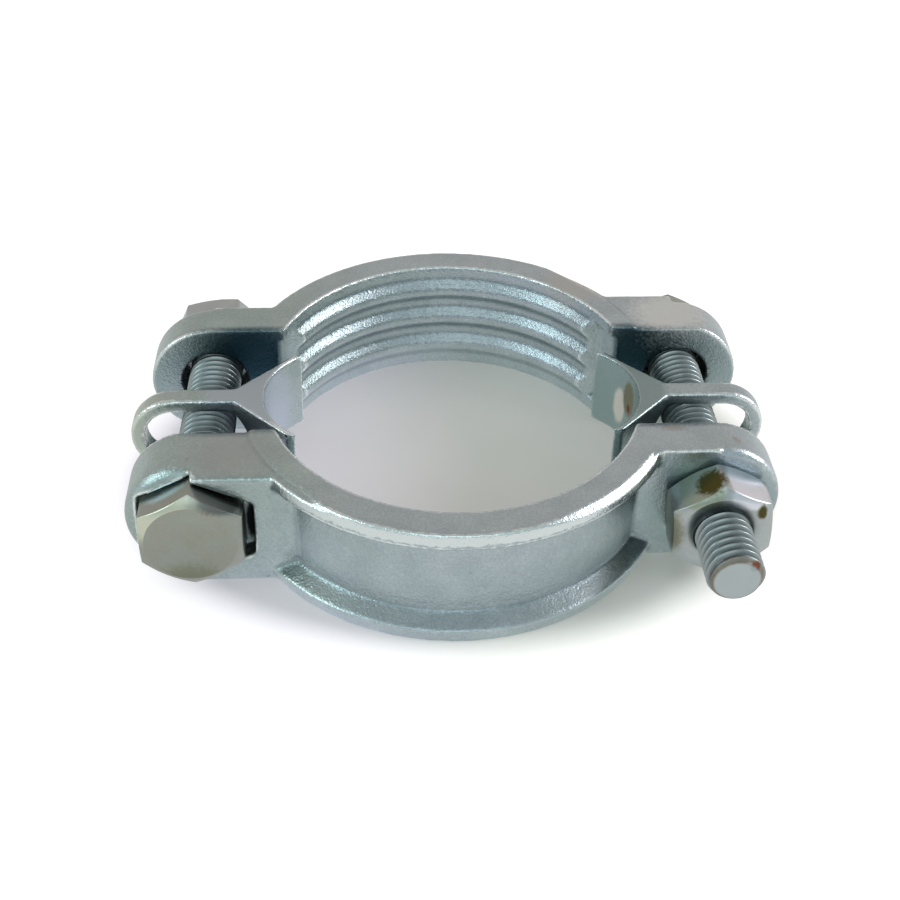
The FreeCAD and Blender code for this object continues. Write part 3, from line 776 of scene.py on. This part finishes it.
def head_height_of(node):
    """Height of a bolt head, from the step between its flats and its shank."""
    low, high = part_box(node)
    wide = [y for y, reach in reaches_of(node) if reach > flats_of(node) / 2 * 1.02]
    return max(wide) - low.y if node.startswith("left") else high.y - min(wide)


def slant_side(middle, flats, side, y):
    """Middle of an upper side, left (-1) or right (1), of a hexagon with corners above and below."""
    return Vector((middle.x + side * flats / 4, y, middle.z + flats / 2 * math.sin(SIXTH_TURN)))


def hexagon_walls(turned, flats, bottom, top, upper_turned=True):
    """Rings of a hexagon from its bottom face circle, over the turned corners, to its top face."""
    look = thread_settings()
    face = flats / 2 * look.chamfer_share
    slope = math.tan(look.chamfer_angle)
    soft = 0.13 * MM
    trim = 0.03 * MM

    def reach(angle):
        """Distance from the axis to a side; a corner lies at 90 degrees."""
        beside = (angle + SIXTH_TURN / 2) % SIXTH_TURN - SIXTH_TURN / 2
        return flats / 2 / math.cos(beside)

    def drop(angle):
        """Distance from the face at which the turned corner meets that side."""
        return (reach(angle) - face) * slope

    def corner_ring(level, sign, inset, rise):
        turned.ring(lambda a: reach(a) - inset, lambda a: level + sign * (drop(a) + rise))

    corner = ((soft, trim / 2 - soft * slope), (trim, trim), (0.0, soft))
    turned.ring(face - soft, bottom)
    turned.ring(face, bottom + trim)
    for inset, rise in corner:
        corner_ring(bottom, 1, inset, rise)
    if upper_turned:
        for inset, rise in reversed(corner):
            corner_ring(top, -1, inset, rise)
        turned.ring(face, top - trim)
        turned.ring(face - soft, top)
    else:
        turned.ring(reach, top - soft)
        turned.ring(lambda a: reach(a) - trim, top - trim)
        turned.ring(lambda a: reach(a) - soft, top)


def bolt_mesh(node):
    """Hex bolt: the head stands below its seat, the shank with its rolled thread above."""
    look = thread_settings()
    low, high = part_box(node)
    towards_rear = node == "left_bolt"
    head = head_height_of(node)
    length = high.y - low.y - head
    major = thread_radius_of(node)
    shoulder = major - 0.10 * MM
    root = major - look.depth
    radii = {"root": root, "flank": (root + shoulder) / 2, "shoulder": shoulder, "crest": major}
    turned = Turned()
    turned.ring(look.end_radius * 0.5, -head)
    turned.cap(-head)
    hexagon_walls(turned, flats_of(node), -head, 0.0, upper_turned=False)
    turned.ring(major, 0.0)

    def trim(radius, height):
        return min(radius, look.end_radius + (length - height))

    turned.thread(0.0, length, radii, trim, major, look.end_radius)
    turned.ring(look.end_radius * 0.94, length)
    turned.ring(look.end_radius * 0.4, length)
    turned.cap(length)
    for face in turned.work.faces:
        level = face.calc_center_median().z
        face.normal_update()
        if level > length - look.pitch:
            face.material_index = THREAD_SLOT
        elif level < -head / 2 and 0.3 < abs(face.normal.z) < 0.95:
            face.material_index = CHAMFER_SLOT
    foot = low.y + head if towards_rear else high.y - head
    return turned.mesh(node + "_threaded", along_bolt(node, foot, towards_rear))


def nut_mesh(node):
    """Hex nut with turned corners at both faces and a threaded bore."""
    look = thread_settings()
    low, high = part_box(node)
    towards_rear = node == "left_nut"
    height = high.y - low.y
    bolt = node.replace("nut", "bolt")
    major = thread_radius_of(bolt) + look.play
    bore = major - look.depth + 2 * look.play
    mouth = major + 0.25 * MM
    radii = {"root": bore, "flank": (bore + major) / 2, "shoulder": major, "crest": major}
    turned = Turned()
    turned.ring(mouth, 0.0)
    hexagon_walls(turned, flats_of(bolt), 0.0, height)
    turned.ring(mouth, height)

    def trim(radius, level):
        return max(radius, mouth - level, mouth - (height - level))

    turned.thread(0.0, height, radii, trim, mouth, mouth)
    foot = low.y if towards_rear else high.y
    place = along_bolt(node, foot, towards_rear, corner_turn(node, towards_rear))
    return turned.mesh(node + "_threaded", place)


class CLAMP_OT_halves(bpy.types.Operator):
    """Gives the two half shells their cast skin and zinc plate"""
    bl_idname = "clamp.halves"
    bl_label = "Dress Half Shells"

    def execute(self, context):
        look = zinc_settings()
        # Painted shade on the upright faces of the ears and on the face where the nut sits.
        face = Spot(None, 15 * MM, look.ear_face_shade, (1.0, 5.0, 1.35), ragged=0.3, core=0.7, strength=0.65)
        # Painted shade between the ears.
        gap = Spot(None, 14 * MM, look.gap, (0.9, 7.0, 0.8), ragged=0.35, core=0.25, dull=0.05, strength=0.95)
        # Painted shade in the pocket beside the bolt head.
        pocket_shade_spot = Spot(None, 1.9 * MM, look.pocket, (1.5, 0.62, 0.33), ragged=0.15, core=0.7, dull=0.3)
        for node, forward, relief in zip(HALVES, (-1, 1), (0.60, 0.90)):
            low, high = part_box(node)
            axis = middle_of("left_bolt" if forward < 0 else "right_bolt")
            rim_centre = Vector((0, forward * look.seat_offset, 0))
            rim_radius = max(abs(low.y), abs(high.y)) - look.seat_offset
            spots = []
            for side in (-1, 1):
                across = Vector((side * abs(axis.x), forward * nearest_y(node), axis.z))
                spots.append(face._replace(centre=across - in_mm(0, 0, 1)))
                spots.append(gap._replace(centre=across + in_mm(-side * 7, 0, 5)))
            nut = "right_nut" if forward < 0 else "left_nut"
            seat = middle_of(nut)
            seat.y = forward * nearest_y(nut)
            # Painted shade on the ear face under the nut.
            spots.append(face._replace(centre=seat - in_mm(0, 0, 1), stretch=(1.0, 4.0, 1.35)))
            beside = math.copysign(flats_of("left_bolt") / 2 + 0.9 * MM, -axis.x)
            pocket = Vector((axis.x + beside, forward * POCKET_SHADE_DISTANCE, axis.z - 0.5 * MM))
            spots.append(pocket_shade_spot._replace(centre=pocket))
            spots.extend(EAR_SPOTS[node])
            bevel = (rim_centre, rim_radius, high.z, look.rim_bevel) if forward < 0 else None
            # Where the rim's painted highlight lies.
            rim = {"Centre": rim_centre, "Radius": rim_radius, "Bottom": high.z - look.rim_highlight_band}
            finish = cast_zinc(f"zinc plated {node}".replace("_", " "), spots, rim, relief)
            link_piece(f"{node}_casting", cast_mesh(node, bevel), node, finish)
        return {"FINISHED"}


class CLAMP_OT_saddles(bpy.types.Operator):
    """Gives the two saddles their cast skin, zinc plate and wear"""
    bl_idname = "clamp.saddles"
    bl_label = "Dress Saddles"

    def execute(self, context):
        look = thread_settings()
        left_low, left_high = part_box("left_saddle")
        right_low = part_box("right_saddle")[0]
        middle = middle_of("right_saddle")
        tab = Vector((left_low.x + 5 * MM, 0, middle.z))
        left_shoe = Vector((left_high.x - 9 * MM, 0, middle.z))
        right_shoe = Vector((right_low.x + 4.5 * MM, 0, middle.z))
        left_spots = (
            Spot(tab, 10 * MM, look.tab_plate, ragged=0.7, core=0.4, strength=0.6),
            # Painted bluish reflection on the left shoe's inner face.
            Spot(left_shoe, 14 * MM, look.lit_shoe, (1.3, 1.0, 1.0), ragged=0.3, core=0.8, strength=0.8),
        )
        right_spots = (
            # Painted greenish shade on the right shoe's inner face.
            Spot(right_shoe, 17 * MM, look.shaded_shoe, (1.9, 1.0, 1.0), ragged=0.3, core=0.8, strength=0.8),
            Spot(middle + in_mm(-9.9, 6.9, -1.0), 2.0 * MM, look.worn, (1.0, 1.0, 0.42),
                 ragged=0.3, core=0.7, dull=0.05),
            Spot(middle + in_mm(-8.7, 4.0, 2.4), 2.5 * MM, look.stain, (1.0, 1.0, 0.55), core=0.7, dull=0.05),
            Spot(middle + in_mm(-8.6, 3.8, 0.4), 0.9 * MM, look.rust, (0.7, 1.1, 0.6),
                 ragged=0.8, core=0.6, dull=0.2),
        )
        # The worn saddle also carries the right shoe's painted shade.
        finishes = (cast_zinc("zinc plated saddle", left_spots),
                    cast_zinc("zinc plated saddle, worn", right_spots))
        for node, finish in zip(SADDLES, finishes):
            link_piece(f"{node}_casting", cast_mesh(node), node, finish)
        return {"FINISHED"}


class CLAMP_OT_bolts(bpy.types.Operator):
    """Makes the hex bolts with their rolled threads"""
    bl_idname = "clamp.bolts"
    bl_label = "Make Bolts"

    def execute(self, context):
        look = thread_settings()
        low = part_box("left_bolt")[0]
        middle, flats = middle_of("left_bolt"), flats_of("left_bolt")
        # Painted shade on the upper right facet of the head, inside the pocket.
        shade = Spot(slant_side(middle, flats, 1, low.y + 3.4 * MM), 5.6 * MM, look.shade, (1.0, 1.45, 1.8),
                     ragged=0.2, core=0.85, strength=0.95)
        # Painted shade on the lower part of the head.
        low_face_shade = Spot(Vector((middle.x, low.y, low.z)), 6.5 * MM, look.head_low_shade, (0.8, 1.0, 1.0),
                        ragged=0.6, core=0.5, strength=0.8)
        # Painted highlight on the upper left facet of the head.
        facet_highlight = Spot(slant_side(middle, flats, -1, low.y + 4.4 * MM), 2.0 * MM, look.head_facet_highlight,
                     (0.4, 1.0, 0.5), ragged=0.3, core=0.4, strength=0.8)
        # Painted highlight on the upper left of the head's turned corners.
        pale = Spot(Vector((middle.x - flats * 0.325, low.y, middle.z + flats * 0.375)), 7.5 * MM,
                    look.head_chamfer_highlight, ragged=0.3, core=0.6)
        head = forged_zinc("zinc plated bolt head", look.plate, 0.45, 0.30, (shade, low_face_shade, facet_highlight))
        chamfer = forged_zinc("zinc plated bolt chamfer", look.plate, 0.45, 0.26, (shade, pale))
        for node in BOLTS:
            low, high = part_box(node)
            end = middle_of(node)
            end.y = high.y if node == "left_bolt" else low.y
            spots = (
                # Painted shade in the thread grooves, darker nearer the axis.
                Spot(end, thread_radius_of(node) * 0.965, look.groove_shade, (1.0, 0.0, 1.0),
                     ragged=0.0, core=0.82, dull=0.1),
                Spot(end, 5.2 * MM, look.tarnish, (1.0, 2.2, 1.0),
                     ragged=0.7, core=0.8, dull=0.1, strength=0.7),
                Spot(end + in_mm(2.7, 0.0, 3.0), 1.3 * MM, look.rust, (1.0, 0.8, 1.0),
                     ragged=0.9, core=0.5, dull=0.3, strength=0.8),
                Spot(end, look.end_radius * 1.02, look.bolt_end, (1.0, 8.0, 1.0),
                     ragged=0.05, core=0.9, dull=0.05),
            )
            name = f"zinc plated {node} thread".replace("_", " ")
            shank = forged_zinc(name, look.shank, 0.1, 0.24, spots)
            link_piece(f"{node}_threaded", bolt_mesh(node), node, head, shank, chamfer)
        return {"FINISHED"}


class CLAMP_OT_nuts(bpy.types.Operator):
    """Makes the hex nuts with their threaded bores"""
    bl_idname = "clamp.nuts"
    bl_label = "Make Nuts"

    def execute(self, context):
        look = thread_settings()
        middle, flats = middle_of("right_nut"), flats_of("right_nut")
        upper_left = slant_side(middle, flats, -1, middle.y)
        upper_right = slant_side(middle, flats, 1, middle.y)
        spots = (
            # Painted highlight on the upper right facet, painted shade on the left facets and greenish
            # painted shade on the upper left facet.
            Spot(upper_right, 5.0 * MM, look.nut_facet_highlight, (1.0, 0.7, 1.6), ragged=0.2, core=0.8),
            Spot(middle - Vector((flats / 2, 0, 0)), 5.0 * MM, look.nut_facet_shade, (1.6, 0.7, 0.9),
                 ragged=0.3, core=0.6),
            Spot(upper_left, 5.0 * MM, look.nut_facet_green_shade, (1.0, 0.7, 1.6), ragged=0.3, core=0.8),
            Spot(middle + in_mm(-2.4, -0.5, 8.5), 2.8 * MM, look.nut_stain, (0.85, 0.85, 1.0),
                 ragged=0.7, core=0.6, dull=0.05),
            Spot(middle + in_mm(6.2, -3.9, 4.7), 1.2 * MM, look.nut_stain, (1.0, 1.0, 0.7),
                 ragged=0.5, core=0.5, dull=0.1),
        )
        finish = forged_zinc("zinc plated nut", look.nut_plate, 0.25, 0.22, spots)
        inside = forged_zinc("zinc plated nut thread", look.plate, 0.1, 0.30)
        for node in NUTS:
            link_piece(f"{node}_threaded", nut_mesh(node), node, finish, inside)
        return {"FINISHED"}


def pale_floor():
    """Pale floor that keeps the object's shadow and reads white away from it."""
    material, tree, shader, place = finish_base("pale floor", metallic=0.0)
    feed(tree, shader, Base_Color=stage_settings().floor, Roughness=0.9, Specular_IOR_Level=0.2)
    ray = add_node(tree, "ShaderNodeLightPath").outputs
    seen = math_in(tree, "MAXIMUM", ray["Is Camera Ray"], ray["Is Transmission Ray"])
    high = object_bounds()[1]
    far = vector_in(tree, "LENGTH", vector_in(tree, "DIVIDE", place, (high.x, high.y, 1.0)))
    around = ramp_in(tree, far, *FLOOR_EDGE)
    glow = math_in(tree, "MULTIPLY_ADD", around, FLOOR_GAIN, FLOOR_GLOW)
    shown = math_in(tree, "MULTIPLY", seen, glow)
    mirrored = math_in(tree, "MULTIPLY", ray["Is Glossy Ray"], 0.35)
    # Painted light on the floor inside the clamp: pinkish and brighter on the left.
    inside = mix_in(tree, ramp_in(tree, split_in(tree, place)["X"], *FLOOR_PAINTED_LIGHT_RUN), *FLOOR_PAINTED_LIGHT_TINTS)
    feed(tree, shader, Emission_Color=mix_in(tree, around, inside, FLOOR_TINT_AROUND),
         Emission_Strength=math_in(tree, "MAXIMUM", shown, mirrored))
    return material


def room_world():
    """Soft room: warm grey behind and above, cooler in front, white where the camera looks past the floor."""
    look = stage_settings()
    world = bpy.data.worlds.new("soft room")
    world.use_nodes = True
    tree = world.node_tree
    aim = split_in(tree, add_node(tree, "ShaderNodeTexCoord").outputs["Generated"])
    colour = mix_in(tree, ramp_in(tree, aim["Z"], 0.4, 0.9), look.sky_low, look.sky_high)
    ahead = ramp_in(tree, aim["Y"], 0.3, -0.5)
    cooler = mix_in(tree, 1.0, colour, look.sky_front, "MULTIPLY")
    colour = mix_in(tree, ahead, colour, cooler)
    white = add_node(tree, "ShaderNodeLightPath").outputs["Is Camera Ray"]
    feed(tree, tree.nodes["Background"], Color=mix_in(tree, white, colour, (1.0, 1.0, 1.0)))
    bpy.context.scene.world = world


def window(name, place, width, height, power, colour):
    """Large soft lamp that faces the clamp."""
    data = bpy.data.lights.new(name, "AREA")
    data.shape = "RECTANGLE"
    data.size = width
    data.size_y = height
    data.energy = power
    data.color = colour
    lamp = add_object(name, data)
    lamp.location = place
    lamp.rotation_euler = (-Vector(place)).to_track_quat("-Z", "Y").to_euler()


def photo_camera():
    """Camera at the photograph's viewing angle."""
    level = math.cos(CAMERA_PITCH)
    ahead = Vector((math.sin(CAMERA_YAW) * level, math.cos(CAMERA_YAW) * level, -math.sin(CAMERA_PITCH)))
    right = Vector((math.cos(CAMERA_YAW), -math.sin(CAMERA_YAW), 0.0))
    above = right.cross(ahead)
    across = right * math.cos(CAMERA_ROLL) + above * math.sin(CAMERA_ROLL)
    upward = above * math.cos(CAMERA_ROLL) - right * math.sin(CAMERA_ROLL)
    data = bpy.data.cameras.new("photo camera")
    data.sensor_fit = "HORIZONTAL"
    data.lens = PHOTO_FOCUS / PHOTO_SIZE * data.sensor_width
    data.shift_x = (PHOTO_SIZE / 2 - PHOTO_CENTRE[0]) / PHOTO_SIZE
    data.shift_y = (PHOTO_CENTRE[1] - PHOTO_SIZE / 2) / PHOTO_SIZE
    data.clip_start = 1 * MM
    camera = add_object("photo camera", data)
    axes = Matrix((across, upward, -ahead)).transposed().to_4x4()
    camera.matrix_world = Matrix.Translation(CAMERA_PLACE) @ axes
    bpy.context.scene.camera = camera


class CLAMP_OT_stage(bpy.types.Operator):
    """Sets the pale floor, the soft lamps and the camera of the photograph"""
    bl_idname = "clamp.stage"
    bl_label = "Set Stage"

    def execute(self, context):
        look = stage_settings()
        half = FLOOR_HALF
        corners = [(-half, -half, 0), (half, -half, 0), (half, half, 0), (-half, half, 0)]
        mesh = bpy.data.meshes.new("floor")
        mesh.from_pydata(corners, [], [(0, 1, 2, 3)])
        mesh.materials.append(pale_floor())
        floor = add_object("floor", mesh)
        floor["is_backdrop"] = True
        room_world()
        for name, place, width, height, colour in LAMPS:
            window(name.replace("_", " "), place, width, height, getattr(look, name), colour)
        context.scene.view_settings.view_transform = "Standard"
        photo_camera()
        return {"FINISHED"}


class CLAMP_PT_panel(bpy.types.Panel):
    """Steps and sizes of the hose clamp"""
    bl_label = "Hose Clamp"
    bl_idname = "CLAMP_PT_panel"
    bl_space_type = "VIEW_3D"
    bl_region_type = "UI"
    bl_category = "Hose Clamp"

    def draw(self, context):
        column = self.layout.column()
        for step in STEPS:
            column.operator(step.bl_idname)
        for group in (zinc_settings(), thread_settings(), stage_settings()):
            box = column.box()
            for name in group.bl_rna.properties.keys():
                if name not in {"rna_type", "name"}:
                    box.prop(group, name)


STEPS = (CLAMP_OT_halves, CLAMP_OT_saddles, CLAMP_OT_bolts, CLAMP_OT_nuts, CLAMP_OT_stage)
CLASSES = (CastingSettings, ThreadSettings, StageSettings, *STEPS, CLAMP_PT_panel)


def register():
    for cls in CLASSES:
        bpy.utils.register_class(cls)
    bpy.types.Scene.clamp_casting = PointerProperty(type=CastingSettings)
    bpy.types.Scene.clamp_thread = PointerProperty(type=ThreadSettings)
    bpy.types.Scene.clamp_stage = PointerProperty(type=StageSettings)


def unregister():
    del bpy.types.Scene.clamp_casting
    del bpy.types.Scene.clamp_thread
    del bpy.types.Scene.clamp_stage
    for cls in reversed(CLASSES):
        bpy.utils.unregister_class(cls)


def main():
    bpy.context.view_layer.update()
    register()
    bpy.ops.clamp.halves()
    bpy.ops.clamp.saddles()
    bpy.ops.clamp.bolts()
    bpy.ops.clamp.nuts()
    bpy.ops.clamp.stage()


if __name__ == "__main__":
    main()
